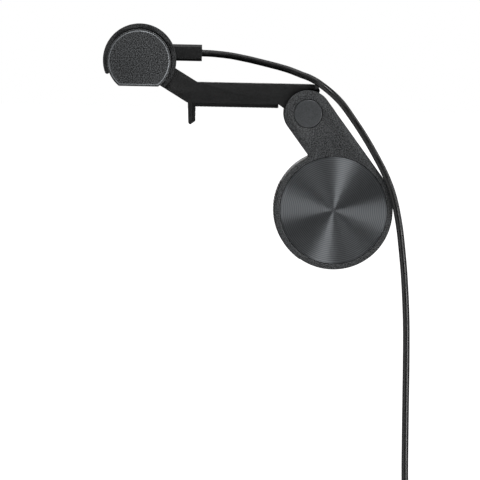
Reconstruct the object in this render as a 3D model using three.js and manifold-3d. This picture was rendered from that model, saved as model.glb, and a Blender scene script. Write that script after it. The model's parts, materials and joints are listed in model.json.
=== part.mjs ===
// A monitor light bar: a long lamp tube that tilts in a cradle, a bridge that rests on the top edge of a
// monitor, and a weighted arm hinged behind it. Millimetres, +Z up, X along the lamp, the user at -Y.
// The origin is on the underside of the rest pad, where the bridge sits on the monitor.
import * as THREE from "three";
import { mergeVertices } from "three/addons/utils/BufferGeometryUtils.js";
import Module from "manifold-3d";

const wasm = await Module();
wasm.setup();

// ---- Driving dimensions ----
const FIT = 0.1; // clearance between pieces that are fixed together
const RUN = 0.3; // clearance between pieces that move past each other

const BAR = {
  length: 450,
  axis: [-35.03, 16.31], // y, z of the tilt axis
  radius: 11.04,
  flat: 8.7, // the flat light side, below the axis
  wall: 1.4,
  cap: 4,
};
const END_CAP = { bevel: 0.55, tongue: 2.4, tongueRise: 5.2, tongueLength: 3 };
const LIGHT = { halfWidth: 5.5, thickness: 1.3, length: 436, leds: 32, ledHalf: 1.4, stripHalf: 2.5 };
const LED_BOARD = { half: 4, under: -0.5, top: 0.5 }; // heights from the bar's axis
// The reflector's tray: half width and height from the axis at its mouth, belly and roof.
const TRAY = { mouth: [5.4, -7.1], belly: [5.9, -5.2], roof: [4.9, 1.15], wall: 0.6 };
const DRIVER = { half: 34, front: -6.5, rear: 5.2, under: 2.3, thickness: 1, notchHalf: 6, notchFront: -1.8 };
const CHIPS = [
  // x, y from the axis, width, depth, height
  [-26, -4, 5, 5, 1.4],
  [-12, -1, 7, 7, 1.2],
  [14, -3, 4, 6, 1.6],
  [26, -1, 6, 4, 2],
];
const SOCKET = { half: 4.6, halfHeight: 1.65, wall: 0.3, front: -1.2, rear: 9.2, play: 0.15 };
const PANEL = { from: 88, to: 148, halfLength: 19.5, depth: 1.2, inset: 0.6 };
const SENSOR = { x: 15.5, angle: 118, radius: 2 }; // it looks out through the panel's right end

const CRADLE = {
  outer: 13.24,
  inner: 11.55,
  half: 27.2,
  front: 200.6, // degrees round the bar axis, from the rear over the top
  window: [78, 164],
  windowHalf: 20.6,
  slot: [-12, 50],
  slotHalf: 6.6,
  liner: [-44, 199],
  linerWidth: 5,
  linerInset: 0.6, // from the cradle's end
};

const BRIDGE = {
  half: 23.2,
  top: 8.83,
  under: 1.3, // the rest pad's thickness
  kneeTop: -14.05,
  kneeUnder: -17.5,
  slope: 31, // degrees, the neck down from the cradle
  lipFrom: 27.4, // the lip over the hinge starts to slope down here
  lipEnd: [29.6, 8.58],
  lipGap: 0.6,
  lipArc: [63, 66, 92], // degrees round the hinge
  lipFillHalf: 21,
  underEnd: 15.5,
  barrelFoot: [17.8, -0.3],
  wall: 1.8,
  baseHalf: 21.9,
  baseThickness: 1.5,
};
const HOOK = { outer: -17.34, outerTip: -16.98, inner: -15.7, tip: -6.45, pad: 1.2, padTip: -5.2 };
const PAD_GAP = 0.05; // a pad's glue line
const REST_PAD = { from: HOOK.inner + HOOK.pad + FIT, to: 15.3, half: 21 };
const STIFFENER = { half: 12.5, front: -15.5, rear: 14, thickness: 1.5 };
const BOSS = { x: 16.5, y: 9, radius: 2.6, hole: 1.25 };
const SCREW = { shank: 1.1, head: 2.2, headHeight: 0.6, clearance: 1.4, tip: 0.3 };

const PIVOT = [26.03, -1.78]; // y, z of the arm's hinge axis
const HINGE = {
  knuckle: 8.5,
  barrel: 7.3,
  barrelHalf: 22.2,
  pin: 2,
  bush: 3.4,
  bushLength: 7,
  cap: 5.04,
  capSeat: 1.2,
  dome: 0.2,
  spring: 5.6, // washer radii
  friction: 6.2,
  frictionThickness: 0.65,
};
const ARM = {
  reach: 36, // from the hinge axis to the drum's axis
  lean: 15.9, // degrees to the rear of straight down
  drum: 21.3,
  disc: 19.2,
  inside: 23.6, // the side plates' inner face
  outside: 26.2,
  shellWall: 1.6,
  neckInset: 1.3, // the shell's neck from the side plates' edge
  tieRadius: 12,
  tie: 1.5,
  tieHead: 2.6,
  recess: 1.1,
};
const DRUM_PAD = { from: 152, to: 237, thickness: 0.9, rise: 0.2, half: 20 };

// The charging plug: distances behind the bar's axis, and its height above it.
const PLUG = {
  tip: 3.5,
  front: 11.2,
  rear: 22.48,
  half: 5.5,
  height: 3,
  thickness: 6,
  chamfer: 0.7,
  shellHalf: 4.15,
  shell: 2.5,
};
const CORD = {
  diameter: 2.5,
  sides: 8,
  side: 27.9, // x of the stretch that hangs beside the arm
  pitch: 2.55,
  coilMean: 14.25,
  coilCentre: [24.1, 55.2, -162],
  coilRows: 4,
  tieReach: 2.5,
  tieRoom: 0.5,
  tieThickness: 0.8,
};

const DRUM = [
  PIVOT[0] + ARM.reach * Math.sin((ARM.lean * Math.PI) / 180),
  PIVOT[1] - ARM.reach * Math.cos((ARM.lean * Math.PI) / 180),
];

// ---- Materials ----
function material(colour, roughness, metalness) {
  return new THREE.MeshStandardMaterial({ color: colour, roughness, metalness });
}
const GRAINED = material(0x454648, 0.55, 0.3);
const DARK = material(0x25272a, 0.6, 0.1);
const BLACK = material(0x0c0c0d, 0.8, 0);
const RUBBER = material(0x0f0f10, 0.9, 0);
const GLOSS = material(0x08090a, 0.08, 0);
const SPUN = material(0x4a4b4d, 0.3, 1);
const STEEL = material(0x9a9c9f, 0.35, 1);
const IRON = material(0x4b4c50, 0.6, 0.9);
const BRASS = material(0xb58b4a, 0.35, 1);
const WHITE = material(0xf1f1ee, 0.5, 0);
const MILKY = material(0xe9eae6, 0.35, 0);
const BOARD = material(0x16462d, 0.5, 0);
const PHOSPHOR = material(0xe8cf6a, 0.5, 0);
const CABLE = material(0x1a1a1b, 0.55, 0);

// ---- Geometry helpers: outlines lie in the (y, z) plane and are extruded along x ----
const radians = THREE.MathUtils.degToRad;
const TO_X = new THREE.Matrix4().makeBasis(
  new THREE.Vector3(0, 1, 0),
  new THREE.Vector3(0, 0, 1),
  new THREE.Vector3(1, 0, 0),
);

function polar([y, z], radius, degrees) {
  return [y + radius * Math.cos(radians(degrees)), z + radius * Math.sin(radians(degrees))];
}

function arc(centre, radius, from, to, steps) {
  return Array.from({ length: steps + 1 }, (_, i) => polar(centre, radius, from + ((to - from) * i) / steps));
}

function circle(centre, radius, steps) {
  return arc(centre, radius, 0, 360, steps).slice(0, -1);
}

function sector(centre, inner, outer, from, to, steps) {
  return [...arc(centre, outer, from, to, steps), ...arc(centre, inner, to, from, steps)];
}

function extrudeX(outline, from, to) {
  const shape = new THREE.Shape(outline.map(([y, z]) => new THREE.Vector2(y, z)));
  const geometry = new THREE.ExtrudeGeometry(shape, { depth: to - from, bevelEnabled: false });
  return geometry.applyMatrix4(TO_X).translate(from, 0, 0);
}

function box(x0, x1, y0, y1, z0, z1) {
  const geometry = new THREE.BoxGeometry(x1 - x0, y1 - y0, z1 - z0);
  return geometry.translate((x0 + x1) / 2, (y0 + y1) / 2, (z0 + z1) / 2);
}

function roundBar(radius, from, to, x, y, steps = 16) {
  const geometry = new THREE.CylinderGeometry(radius, radius, to - from, steps);
  return geometry.rotateX(Math.PI / 2).translate(x, y, (from + to) / 2);
}

function solid(geometry) {
  const bare = new THREE.BufferGeometry();
  bare.setAttribute("position", geometry.getAttribute("position"));
  bare.setIndex(geometry.index);
  const merged = mergeVertices(bare, 1e-4);
  return new wasm.Manifold(
    new wasm.Mesh({
      numProp: 3,
      vertProperties: new Float32Array(merged.attributes.position.array),
      triVerts: new Uint32Array(merged.index.array),
    }),
  );
}

function join(...geometries) {
  return geometries.map(asSolid).reduce((a, b) => a.add(b));
}

function cut(geometry, ...tools) {
  return tools.map(asSolid).reduce((a, b) => a.subtract(b), asSolid(geometry));
}

function asSolid(shape) {
  return shape.isBufferGeometry ? solid(shape) : shape;
}

function asGeometry(shape) {
  if (shape.isBufferGeometry) return shape;
  const mesh = shape.getMesh();
  const geometry = new THREE.BufferGeometry();
  geometry.setAttribute("position", new THREE.BufferAttribute(new Float32Array(mesh.vertProperties), 3));
  geometry.setIndex(new THREE.BufferAttribute(new Uint32Array(mesh.triVerts), 1));
  geometry.computeVertexNormals();
  return geometry;
}

// Moves points given from a centre, such as the bar's axis, into the part's frame.
function shifted([cy, cz], points) {
  return points.map(([y, z]) => [cy + y, cz + z]);
}

const light_bar = new THREE.Group();
light_bar.name = "monitor_light_bar";
const bodies = Object.fromEntries(
  ["clip", "bar", "arm", "lead"].map((name) => {
    const group = new THREE.Group();
    group.name = name;
    light_bar.add(group);
    return [name, group];
  }),
);

function add(body, name, finish, shape) {
  const mesh = new THREE.Mesh(asGeometry(shape), finish);
  mesh.name = name;
  bodies[body].add(mesh);
}

const SIDES = { right: 1, left: -1 }; // right is +X, as the user sees it
function forBothSides(make) {
  for (const [side, sign] of Object.entries(SIDES)) make(side, sign);
}
function spanX(sign, a, b) {
  return sign > 0 ? [a, b] : [-b, -a];
}

// ---- The lamp tube ----
// The tube's outline is round over the top and down to both ends of the flat light side, which closes it.
function tubeOutline(inset, steps) {
  const radius = BAR.radius - inset;
  const below = THREE.MathUtils.radToDeg(Math.asin((BAR.flat - inset) / radius));
  return arc([0, 0], radius, -below, 180 + below, steps);
}

function barHousing() {
  const lip = LIGHT.halfWidth + FIT;
  const half = BAR.length / 2 - BAR.cap - FIT;
  const outside = tubeOutline(0, 40);
  const inside = tubeOutline(BAR.wall, 40).reverse();
  const lipTop = BAR.wall - BAR.flat;
  const outline = [[lip, -BAR.flat], ...outside, [-lip, -BAR.flat], [-lip, lipTop], ...inside, [lip, lipTop]];
  const tube = extrudeX(shifted(BAR.axis, outline), -half, half);
  const panelOpening = extrudeX(
    sector(BAR.axis, BAR.radius - 3, BAR.radius + 1, PANEL.from, PANEL.to, 8),
    -PANEL.halfLength - FIT,
    PANEL.halfLength + FIT,
  );
  return cut(tube, panelOpening, socketBox(SOCKET.play, SOCKET.rear / 2, BAR.radius + 1));
}

// A block as wide and high as the charging socket, grown on all sides, between two distances behind the axis.
function socketBox(grow, front, rear) {
  const [y, z] = BAR.axis;
  const half = SOCKET.half + grow;
  const halfHeight = SOCKET.halfHeight + grow;
  const middle = z + PLUG.height;
  return box(-half, half, y + front, y + rear, middle - halfHeight, middle + halfHeight);
}

function endCap(sign) {
  const { bevel, tongue, tongueRise, tongueLength } = END_CAP;
  const outer = BAR.length / 2;
  const inner = outer - BAR.cap;
  const plate = extrudeX(shifted(BAR.axis, tubeOutline(0, 40)), ...spanX(sign, inner, outer - bevel));
  const face = extrudeX(shifted(BAR.axis, tubeOutline(bevel, 40)), ...spanX(sign, outer - bevel, outer));
  const peg = circle([BAR.axis[0], BAR.axis[1] + tongueRise], tongue, 16);
  return join(plate, face, extrudeX(peg, ...spanX(sign, inner - tongueLength, inner)));
}

function diffuser() {
  const half = BAR.length / 2 - BAR.cap - 2 * FIT;
  const [y, z] = BAR.axis;
  const { halfWidth, thickness } = LIGHT;
  return box(-half, half, y - halfWidth, y + halfWidth, z - BAR.flat + FIT, z - BAR.flat + thickness);
}

function ledBoard() {
  const [y, z] = BAR.axis;
  const { half, under, top } = LED_BOARD;
  return box(-LIGHT.length / 2, LIGHT.length / 2, y - half, y + half, z + under, z + top);
}

// The LEDs stand on a thin tape under the board.
function ledStrip() {
  const half = LIGHT.length / 2;
  const [y, z] = BAR.axis;
  const tapeTop = z + LED_BOARD.under - FIT;
  const tape = box(-half, half, y - LIGHT.stripHalf, y + LIGHT.stripHalf, tapeTop - 0.4, tapeTop);
  const pitch = LIGHT.length / LIGHT.leds;
  const h = LIGHT.ledHalf;
  const leds = Array.from({ length: LIGHT.leds }, (_, i) => {
    const x = -half + pitch * (i + 0.5);
    return box(x - h, x + h, y - h, y + h, tapeTop - 1, tapeTop - 0.2);
  });
  return join(tape, ...leds);
}

function reflector() {
  const { mouth, belly, roof, wall } = TRAY;
  const mirrored = (points) => points.map(([y, z]) => [-y, z]);
  const rear = [mouth, belly, roof];
  const inside = [mouth, belly].map(([y, z]) => [y - wall, z]).concat([[roof[0] - wall, roof[1] - wall]]);
  const outer = [...rear, ...mirrored(rear).reverse()];
  const inner = [...mirrored(inside), ...inside.toReversed()];
  return extrudeX(shifted(BAR.axis, [...outer, ...inner]), -LIGHT.length / 2, LIGHT.length / 2);
}

function driverBoard() {
  const [y, z] = BAR.axis;
  const { half, front, rear, under, thickness, notchHalf, notchFront } = DRIVER;
  const top = z + under + thickness;
  const board = box(-half, half, y + front, y + rear, z + under, top);
  const notch = box(-notchHalf, notchHalf, y + notchFront, y + rear + 1, z, top + 1);
  const chips = CHIPS.map(([x, dy, w, d, h]) =>
    box(x - w / 2, x + w / 2, y + dy - d / 2, y + dy + d / 2, top - FIT, top + h),
  );
  return join(cut(board, notch), ...chips);
}

function touchPanel() {
  const { from, to, inset, depth, halfLength } = PANEL;
  const outline = sector(BAR.axis, BAR.radius - depth, BAR.radius, from + inset, to - inset, 12);
  const panel = extrudeX(outline, -halfLength, halfLength);
  return cut(panel, lensBar(SENSOR.radius + FIT, BAR.radius - 3, BAR.radius + 2));
}

// A round bar that stands out from the bar's axis at the light sensor.
function lensBar(radius, inner, outer) {
  const geometry = new THREE.CylinderGeometry(radius, radius, outer - inner, 16);
  geometry.translate(0, (inner + outer) / 2, 0);
  geometry.rotateX(radians(SENSOR.angle));
  return geometry.translate(SENSOR.x, BAR.axis[0], BAR.axis[1]);
}

function usbSocket() {
  const shell = socketBox(0, SOCKET.front, SOCKET.rear);
  return cut(shell, socketBox(-SOCKET.wall, 0, SOCKET.rear + 1));
}

add("bar", "bar_housing", GRAINED, barHousing());
forBothSides((side, sign) => add("bar", "end_cap_" + side, GRAINED, endCap(sign)));
add("bar", "diffuser", MILKY, diffuser());
add("bar", "reflector", WHITE, reflector());
add("bar", "led_board", WHITE, ledBoard());
add("bar", "led_strip", PHOSPHOR, ledStrip());
add("bar", "driver_board", BOARD, driverBoard());
add("bar", "touch_panel", GLOSS, touchPanel());
add("bar", "light_sensor_lens", MILKY, lensBar(SENSOR.radius, BAR.radius - 1.5, BAR.radius - 0.1));
add("bar", "usb_c_socket", STEEL, usbSocket());

// ---- The cradle and its friction liners ----
// The angle round a circle's centre where a line from a point outside it first meets it.
function lineMeetsCircle([y, z], dir, centre, radius) {
  const rel = [y - centre[0], z - centre[1]];
  const b = rel[0] * dir[0] + rel[1] * dir[1];
  const t = -b - Math.sqrt(b * b - rel[0] ** 2 - rel[1] ** 2 + radius ** 2);
  return THREE.MathUtils.radToDeg(Math.atan2(rel[1] + t * dir[1], rel[0] + t * dir[0]));
}

// The angle round the bar's axis where a line up the neck from a point meets a circle of that radius.
function neckMeets(point, radius) {
  const dir = [-Math.cos(radians(BRIDGE.slope)), Math.sin(radians(BRIDGE.slope))];
  return lineMeetsCircle(point, dir, BAR.axis, radius);
}

// The ring runs from its rounded front tip over the top to the neck's underside, where it is cut flush.
function cradle() {
  const { outer, inner, half, front, window, windowHalf, slot, slotHalf } = CRADLE;
  const underKnee = [BRIDGE.kneeUnder, BRIDGE.under];
  const outside = arc(BAR.axis, outer, neckMeets(underKnee, outer), front, 60);
  const inside = arc(BAR.axis, inner, front, neckMeets(underKnee, inner), 60);
  const ring = extrudeX([...outside, ...inside], -half, half);
  const tipCentre = polar(BAR.axis, (inner + outer) / 2, front);
  const tip = extrudeX(circle(tipCentre, (outer - inner) / 2, 12), -half, half);
  const opening = extrudeX(sector(BAR.axis, inner - 1, outer + 1, ...window, 16), -windowHalf, windowHalf);
  const plugSlot = extrudeX(sector(BAR.axis, inner - 1, outer + 1, ...slot, 12), -slotHalf, slotHalf);
  return cut(join(ring, tip), opening, plugSlot);
}

function liner(sign) {
  const outline = sector(BAR.axis, BAR.radius + RUN / 2, CRADLE.inner - FIT, ...CRADLE.liner, 48);
  const end = CRADLE.half - CRADLE.linerInset;
  return extrudeX(outline, ...spanX(sign, end - CRADLE.linerWidth, end));
}

add("clip", "cradle", GRAINED, cradle());
forBothSides((side, sign) => add("clip", "cradle_liner_" + side, BLACK, liner(sign)));

// ---- The bridge: body, base with the front hook, stiffener and pads ----
function bridgeOutline() {
  const topKnee = [BRIDGE.kneeTop, BRIDGE.top];
  const underKnee = [BRIDGE.kneeUnder, BRIDGE.under];
  const lip = HINGE.knuckle + BRIDGE.lipGap;
  const [lipTip, lipStart, lipInner] = BRIDGE.lipArc;
  const face = CRADLE.outer + FIT;
  return [
    ...arc(BAR.axis, face, neckMeets(underKnee, face), neckMeets(topKnee, face), 10),
    topKnee,
    [BRIDGE.lipFrom, BRIDGE.top],
    BRIDGE.lipEnd,
    polar(PIVOT, lip, lipTip),
    ...arc(PIVOT, lip, lipStart, lipInner, 4),
    polar(PIVOT, HINGE.barrel - 1, lipInner + 8),
    PIVOT,
    polar(PIVOT, HINGE.barrel - 0.4, 190),
    BRIDGE.barrelFoot,
    [BRIDGE.underEnd, BRIDGE.under],
    underKnee,
  ];
}

const BOSSES = [-BOSS.x, BOSS.x].flatMap((x) => [-BOSS.y, BOSS.y].map((y) => [x, y]));
const BASE_TOP = BRIDGE.under + BRIDGE.baseThickness;

function bridgeBody() {
  const shell = extrudeX(bridgeOutline(), -BRIDGE.half, BRIDGE.half);
  const barrel = extrudeX(circle(PIVOT, HINGE.barrel, 40), -HINGE.barrelHalf, HINGE.barrelHalf);
  const ends = washerRooms();
  const half = BRIDGE.baseHalf + FIT;
  const cavity = box(-half, half, HOOK.outer - 0.3, BRIDGE.underEnd - 0.4, -2, BRIDGE.top - BRIDGE.wall);
  const [from, , to] = BRIDGE.lipArc;
  const lip = sector(PIVOT, HINGE.barrel - 1, HINGE.knuckle + BRIDGE.lipGap + 0.3, from, to + 4, 8);
  const lipFill = extrudeX(lip, -BRIDGE.lipFillHalf, BRIDGE.lipFillHalf);
  const bosses = BOSSES.map(([x, y]) => roundBar(BOSS.radius, BASE_TOP + FIT, BRIDGE.top - 1, x, y));
  const holes = BOSSES.map(([x, y]) => roundBar(BOSS.hole, BASE_TOP - 1, BRIDGE.top - BRIDGE.wall, x, y, 12));
  const bore = extrudeX(circle(PIVOT, HINGE.bush + FIT, 24), -BRIDGE.half, BRIDGE.half);
  return cut(join(cut(shell, cavity, ...ends), barrel, lipFill, ...bosses), ...holes, bore);
}

// The bridge's flanks stop short of the hinge, so that the washers have room beside the barrel.
function washerRooms() {
  return Object.values(SIDES).map((sign) =>
    extrudeX(circle(PIVOT, HINGE.knuckle + 0.2, 40), ...spanX(sign, HINGE.barrelHalf, BRIDGE.half + 1)),
  );
}

function bridgeBase() {
  const outline = [
    [HOOK.outer, BASE_TOP - 0.2],
    [HOOK.outerTip, HOOK.tip + 0.6],
    [HOOK.outerTip + 0.5, HOOK.tip],
    [HOOK.inner - 0.3, HOOK.tip],
    [HOOK.inner, HOOK.tip + 0.5],
    [HOOK.inner, BRIDGE.under],
    [BRIDGE.underEnd - 0.6, BRIDGE.under],
    [BRIDGE.underEnd - 0.6, BASE_TOP],
    [HOOK.outer + 0.4, BASE_TOP],
  ];
  const plate = extrudeX(outline, -BRIDGE.baseHalf, BRIDGE.baseHalf);
  const holes = BOSSES.flatMap(([x, y]) => [
    roundBar(SCREW.clearance, 0, BASE_TOP + 1, x, y, 12),
    roundBar(SCREW.head + 2 * FIT, 0, BRIDGE.under + SCREW.headHeight + FIT, x, y),
  ]);
  return cut(plate, ...holes);
}

function baseScrew(x, y) {
  const under = BRIDGE.under + PAD_GAP;
  const head = roundBar(SCREW.head, under, under + SCREW.headHeight, x, y);
  const tip = BRIDGE.top - BRIDGE.wall - SCREW.tip;
  return join(head, roundBar(SCREW.shank, under + SCREW.headHeight / 2, tip, x, y, 12));
}

function hookPad() {
  const back = HOOK.inner + PAD_GAP;
  const face = HOOK.inner + HOOK.pad;
  const top = -PAD_GAP;
  const outline = [[back, top], [back, HOOK.padTip - 0.9], [face, HOOK.padTip], [face, top]];
  return extrudeX(outline, -REST_PAD.half, REST_PAD.half);
}

function restPad() {
  return box(-REST_PAD.half, REST_PAD.half, REST_PAD.from, REST_PAD.to, 0, BRIDGE.under - PAD_GAP);
}

function stiffener() {
  const { half, front, rear, thickness } = STIFFENER;
  const under = BASE_TOP + PAD_GAP;
  return box(-half, half, front, rear, under, under + thickness);
}

function hingeBush(sign) {
  const span = spanX(sign, HINGE.barrelHalf - HINGE.bushLength, HINGE.barrelHalf);
  const bore = extrudeX(circle(PIVOT, HINGE.pin + FIT, 24), -BRIDGE.half, BRIDGE.half);
  return cut(extrudeX(circle(PIVOT, HINGE.bush, 24), ...span), bore);
}

add("clip", "bridge_body", DARK, bridgeBody());
add("clip", "bridge_base", DARK, bridgeBase());
add("clip", "bridge_stiffener", STEEL, stiffener());
BOSSES.forEach(([x, y], i) => add("clip", "base_screw_" + (i + 1), STEEL, baseScrew(x, y)));
add("clip", "rest_pad", RUBBER, restPad());
add("clip", "hook_pad", RUBBER, hookPad());
forBothSides((side, sign) => add("clip", "hinge_bush_" + side, BRASS, hingeBush(sign)));

// ---- The weighted arm ----
// A side plate is round at the hinge and at the drum. Its rear edge touches both circles, and its front edge
// leaves the hinge parallel to that and runs into the drum.
const SPREAD = THREE.MathUtils.radToDeg(Math.asin((ARM.drum - HINGE.knuckle) / ARM.reach));
const EDGE = -90 + ARM.lean + SPREAD; // direction of both edges, degrees
function armOutline(inset) {
  const rear = EDGE + 90;
  const knuckle = HINGE.knuckle - inset;
  const drum = ARM.drum - inset;
  const dir = [Math.cos(radians(EDGE)), Math.sin(radians(EDGE))];
  const corner = lineMeetsCircle(polar(PIVOT, knuckle, rear - 180), dir, DRUM, drum);
  return [...arc(PIVOT, knuckle, rear, rear + 180, 20), ...arc(DRUM, drum, corner, rear + 360, 44)];
}

const TIES = [90, 210, 330].map((angle) => polar(DRUM, ARM.tieRadius, angle));
function tieHoles(from, to) {
  return TIES.map((centre) => extrudeX(circle(centre, ARM.tie + 2 * FIT, 12), from, to));
}

function sidePlate(sign) {
  const { inside, outside, recess } = ARM;
  const plate = extrudeX(armOutline(0), ...spanX(sign, inside, outside));
  const discSeat = extrudeX(circle(DRUM, ARM.disc + FIT, 56), ...spanX(sign, outside - recess, outside + 1));
  const capSpan = spanX(sign, outside - HINGE.capSeat, outside + 1);
  const capSeat = extrudeX(circle(PIVOT, HINGE.cap + FIT, 28), ...capSpan);
  const pinHole = extrudeX(circle(PIVOT, HINGE.pin + FIT, 20), ...spanX(sign, inside - 1, outside + 1));
  return cut(plate, discSeat, capSeat, pinHole, ...tieHoles(...spanX(sign, inside - 1, outside)));
}

// The pad's outline in its seat: it sinks into the shell and stands a little proud of the side plates.
function padOutline(deeper, wider) {
  const outer = ARM.drum + DRUM_PAD.rise;
  const inner = outer - DRUM_PAD.thickness - deeper;
  return sector(DRUM, inner, outer, DRUM_PAD.from - wider, DRUM_PAD.to + wider, 20);
}

function drumShell() {
  const half = ARM.inside - FIT;
  const outer = ARM.drum - 0.1;
  const neck = extrudeX(armOutline(ARM.neckInset), -half, half);
  const drum = extrudeX(circle(DRUM, outer, 56), -half, half);
  const room = extrudeX(circle(DRUM, outer - ARM.shellWall, 48), -half - 1, half + 1);
  const hinge = extrudeX(circle(PIVOT, HINGE.knuckle + RUN, 32), -half - 1, half + 1);
  const padSeat = extrudeX(padOutline(FIT, 0.3), -DRUM_PAD.half - FIT, DRUM_PAD.half + FIT);
  return cut(join(cut(neck, hinge), drum), room, padSeat);
}

function weightCore() {
  const half = ARM.inside - FIT;
  const radius = ARM.drum - 0.1 - ARM.shellWall - FIT;
  return cut(extrudeX(circle(DRUM, radius, 48), -half, half), ...tieHoles(-half - 1, half + 1));
}

function tieScrew(centre) {
  const floor = ARM.outside - ARM.recess;
  const inner = floor + 0.02;
  const outer = floor + 0.4;
  const shank = extrudeX(circle(centre, ARM.tie, 12), -inner, inner);
  const head = extrudeX(circle(centre, ARM.tieHead, 12), inner, outer);
  const nut = extrudeX(circle(centre, ARM.tieHead, 6), -outer, -inner);
  return join(shank, head, nut);
}

function drumPad() {
  return extrudeX(padOutline(0, 0), -DRUM_PAD.half, DRUM_PAD.half);
}

function spunDisc(sign) {
  const face = ARM.outside - 0.15;
  return extrudeX(circle(DRUM, ARM.disc, 56), ...spanX(sign, ARM.outside - ARM.recess + 0.5, face));
}

function pivotCap(sign) {
  const outer = ARM.outside;
  const seat = extrudeX(circle(PIVOT, HINGE.cap, 28), ...spanX(sign, outer - HINGE.capSeat + FIT, outer));
  const dome = extrudeX(circle(PIVOT, HINGE.cap - 0.5, 28), ...spanX(sign, outer - FIT, outer + HINGE.dome));
  return join(seat, dome);
}

function washer(sign, inner, outer, radius) {
  const ring = extrudeX(circle(PIVOT, radius, 28), ...spanX(sign, inner, outer));
  return cut(ring, extrudeX(circle(PIVOT, HINGE.pin + FIT, 20), -ARM.outside, ARM.outside));
}

function hingePin() {
  const half = ARM.outside - HINGE.capSeat - PAD_GAP;
  return extrudeX(circle(PIVOT, HINGE.pin, 20), -half, half);
}

const FRICTION_FROM = HINGE.barrelHalf + PAD_GAP;
const FRICTION_SPAN = [FRICTION_FROM, FRICTION_FROM + HINGE.frictionThickness];
const SPRING_SPAN = [FRICTION_SPAN[1] + RUN / 2, ARM.inside - PAD_GAP];
forBothSides((side, sign) => {
  add("arm", "side_plate_" + side, GRAINED, sidePlate(sign));
  add("arm", "spun_disc_" + side, SPUN, spunDisc(sign));
  add("arm", "pivot_cap_" + side, GRAINED, pivotCap(sign));
  add("arm", "spring_washer_" + side, STEEL, washer(sign, ...SPRING_SPAN, HINGE.spring));
  add("clip", "friction_washer_" + side, BRASS, washer(sign, ...FRICTION_SPAN, HINGE.friction));
});
add("arm", "hinge_pin", STEEL, hingePin());
add("arm", "drum_shell", DARK, drumShell());
add("arm", "weight_core", IRON, weightCore());
TIES.forEach((centre, i) => add("arm", "tie_screw_" + (i + 1), STEEL, tieScrew(centre)));
add("arm", "drum_pad", RUBBER, drumPad());

// ---- The lead: plug, free cord, coil, tie and the far plug ----
const PLUG_Z = BAR.axis[1] + PLUG.height;
const PLUG_REAR = BAR.axis[0] + PLUG.rear;

function usbPlug() {
  const { half, thickness, front, chamfer } = PLUG;
  const h = thickness / 2;
  const start = BAR.axis[0] + front;
  const section = [
    [-half, -h + chamfer],
    [-half + chamfer, -h],
    [half - chamfer, -h],
    [half, -h + chamfer],
    [half, h - chamfer],
    [half - chamfer, h],
    [-half + chamfer, h],
    [-half, h - chamfer],
  ];
  const shape = new THREE.Shape(section.map(([x, z]) => new THREE.Vector2(x, z)));
  const geometry = new THREE.ExtrudeGeometry(shape, { depth: PLUG.rear - front, bevelEnabled: false });
  return geometry.rotateX(Math.PI / 2).translate(0, start + PLUG.rear - front, PLUG_Z);
}

// The cord's route where it isn't coiled: off the plug, over the bridge's rear corner, down beside the arm.
const LEAD_ROUTE = [
  [0, PLUG_REAR + 0.3, 19.26],
  [0.2, -9.5, 19.2],
  [0.9, -6.5, 19.0],
];
const CORD_ROUTE = [
  [1.1, -6.0, 18.97],
  [2.6, -2.3, 18.58],
  [4.6, 1.3, 17.97],
  [7.0, 4.9, 17.28],
  [9.7, 8.5, 16.48],
  [12.6, 12.1, 15.65],
  [15.4, 15.7, 14.78],
  [18.2, 19.3, 13.74],
  [20.7, 23.2, 12.3],
  [23.6, 26.5, 11.1],
  [26.4, 29.65, 9.35],
  [CORD.side, 34.0, 6.1],
  [CORD.side, 37.7, 2.6],
  [CORD.side, 40.9, -1.5],
  [CORD.side, 45.6, -8.2],
  [CORD.side, 50.1, -15.5],
  [CORD.side, 54.55, -23.8],
  [CORD.side, 57.45, -31.5],
  [CORD.side, 59.55, -41.0],
  [CORD.side, 60.8, -50.2],
  [CORD.side, 61.9, -61.0],
  [CORD.side, 62.8, -75.4],
  [CORD.side, 63.1, -90.0],
  [CORD.side, 63.2, -104.5],
  [CORD.side, 63.3, -119.0],
  [CORD.side, 63.5, -133.0],
  [CORD.side, 64.0, -140.0],
];

function cordTube(points, steps) {
  const path = new THREE.CatmullRomCurve3(points.map((p) => new THREE.Vector3(...p)));
  const shape = new THREE.Shape(
    circle([0, 0], CORD.diameter / 2, CORD.sides).map(([x, y]) => new THREE.Vector2(x, y)),
  );
  return new THREE.ExtrudeGeometry(shape, { steps, extrudePath: path, bevelEnabled: false });
}

const COIL_HALF = ((CORD.coilRows - 1) * CORD.pitch + CORD.diameter) / 2;
function coilRing() {
  const corner = 1;
  const [r0, r1] = [CORD.coilMean - COIL_HALF, CORD.coilMean + COIL_HALF];
  const profile = [
    [r0 + corner, -COIL_HALF],
    [r1 - corner, -COIL_HALF],
    [r1, -COIL_HALF + corner],
    [r1, COIL_HALF - corner],
    [r1 - corner, COIL_HALF],
    [r0 + corner, COIL_HALF],
    [r0, COIL_HALF - corner],
    [r0, -COIL_HALF + corner],
    [r0 + corner, -COIL_HALF],
  ].map(([r, h]) => new THREE.Vector2(r, h));
  return new THREE.LatheGeometry(profile, 32).rotateZ(-Math.PI / 2).translate(...CORD.coilCentre);
}

// A band round the bundle at the top of the coil.
function coilTie() {
  const [x, y, z] = CORD.coilCentre;
  const top = z + CORD.coilMean;
  const around = (half, reach) => box(x - half, x + half, y - reach, y + reach, top - half, top + half);
  const inner = COIL_HALF + CORD.tieRoom;
  return cut(around(inner + CORD.tieThickness, CORD.tieReach), around(inner, CORD.tieReach + 1));
}

// The far plug hangs below the coil's rear side, from the row of turns nearest the monitor's middle.
const FAR = {
  x: CORD.coilCentre[0] - COIL_HALF + CORD.diameter / 2,
  y: CORD.coilCentre[1] + CORD.coilMean + COIL_HALF - CORD.diameter / 2,
  top: CORD.coilCentre[2] - 19,
  tailTop: CORD.coilCentre[2] - 10.2,
  body: 20,
  bodyHalf: [4, 8],
  shell: 12,
  shellHalf: [2.25, 6],
};

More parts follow.
